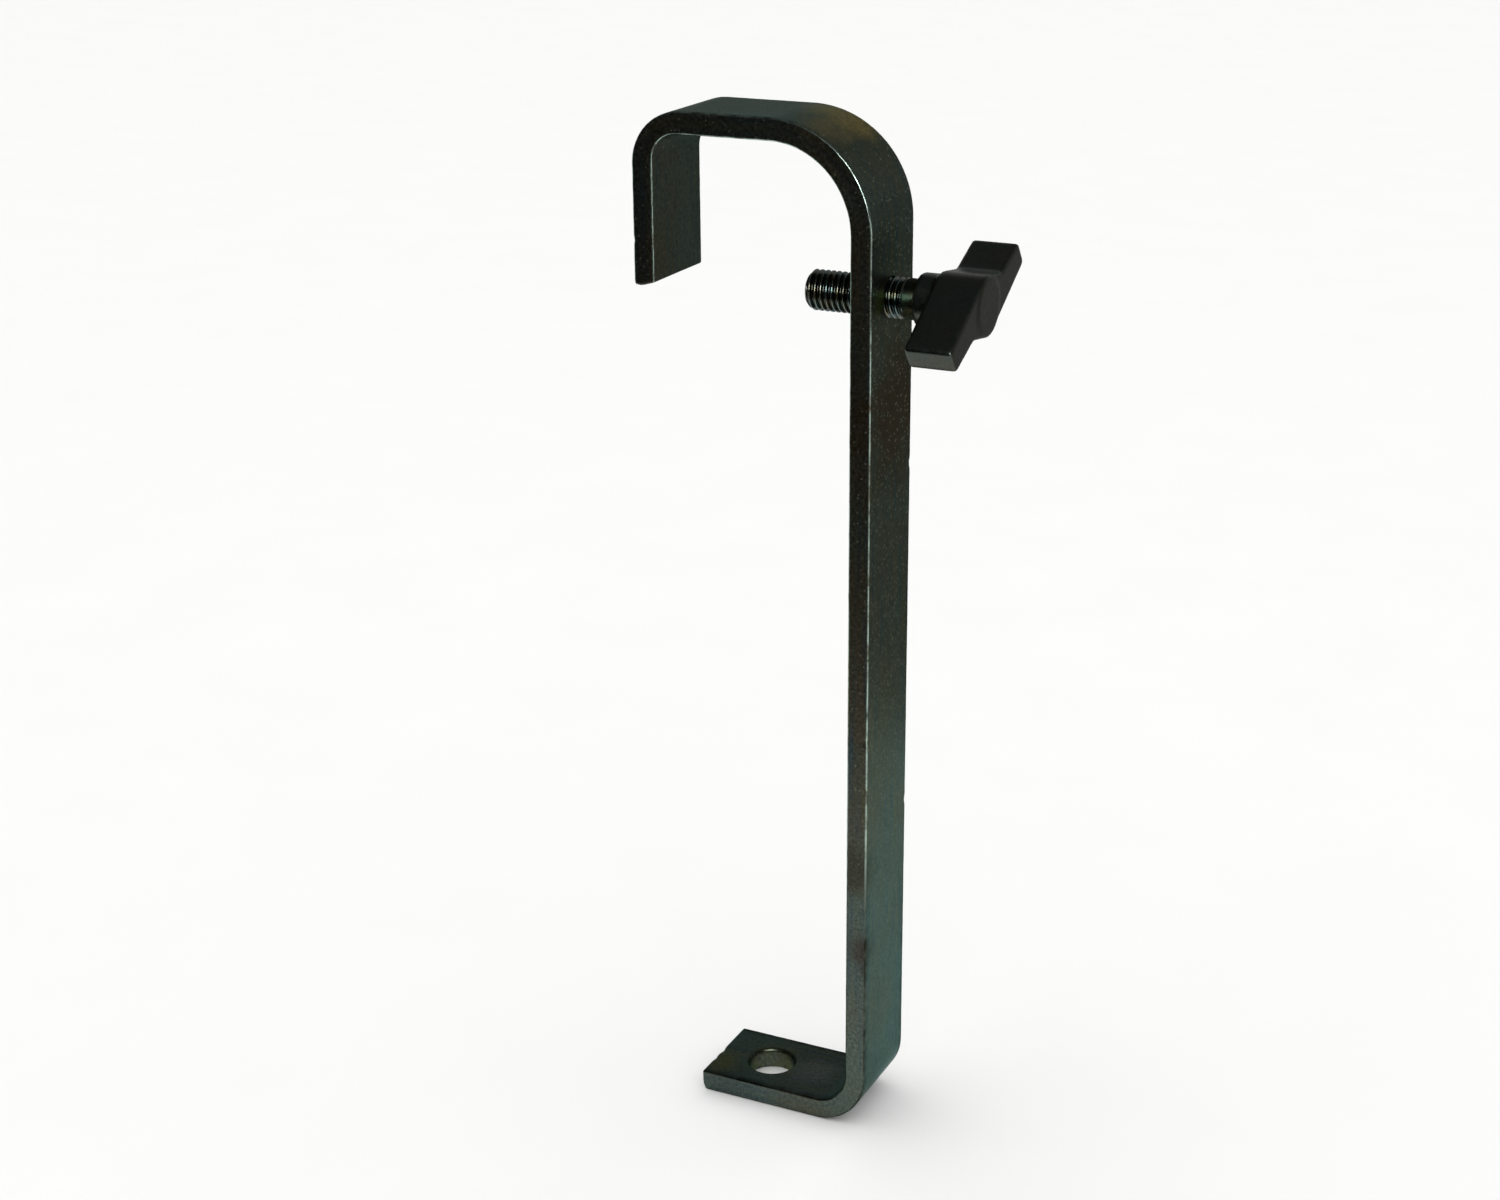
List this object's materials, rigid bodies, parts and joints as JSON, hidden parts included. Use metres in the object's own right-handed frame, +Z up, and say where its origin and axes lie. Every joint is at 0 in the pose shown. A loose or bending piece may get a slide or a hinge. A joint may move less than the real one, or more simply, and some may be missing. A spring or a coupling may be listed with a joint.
{
  "type": "drop hook clamp",
  "caption": "Flat steel hook with a long drop bar and a drilled foot, clamped on an overhead tube by a cast wing screw.",
  "frame": {"origin": "middle of the flat underside of the hook's top, where the tube bears", "axes": "+Z up, +X from the nose towards the drop bar and the wing screw, +Y across the flat bar"},
  "size_m": [0.1033, 0.0544, 0.311],
  "materials": {
    "zinc_strap": "zinc plated and passivated, satin",
    "zinc_screw": "bright zinc plated, iridescent",
    "cast_head": "smooth cast, plated, satin"
  },
  "bodies": {
    "strap": {"hook_strap": "zinc_strap"},
    "screw": {"clamp_screw": "zinc_screw"},
    "wing": {"wing_head": "cast_head"}
  },
  "joints": [
    {"name": "screw_advance", "type": "slide", "parent": "strap", "child": "screw", "axis": [-1, 0, 0], "range_m": [-0.018, 0.005]},
    {"name": "wing_turn", "type": "hinge", "parent": "screw", "child": "wing", "pos_m": [0.0642, 0, -0.0437], "axis": [-1, 0, 0], "range_deg": [-3702, 1028]}
  ],
  "couplings": [
    {"joint": "screw_advance", "follows": "wing_turn", "m_per_rad": 0.00027852}
  ]
}
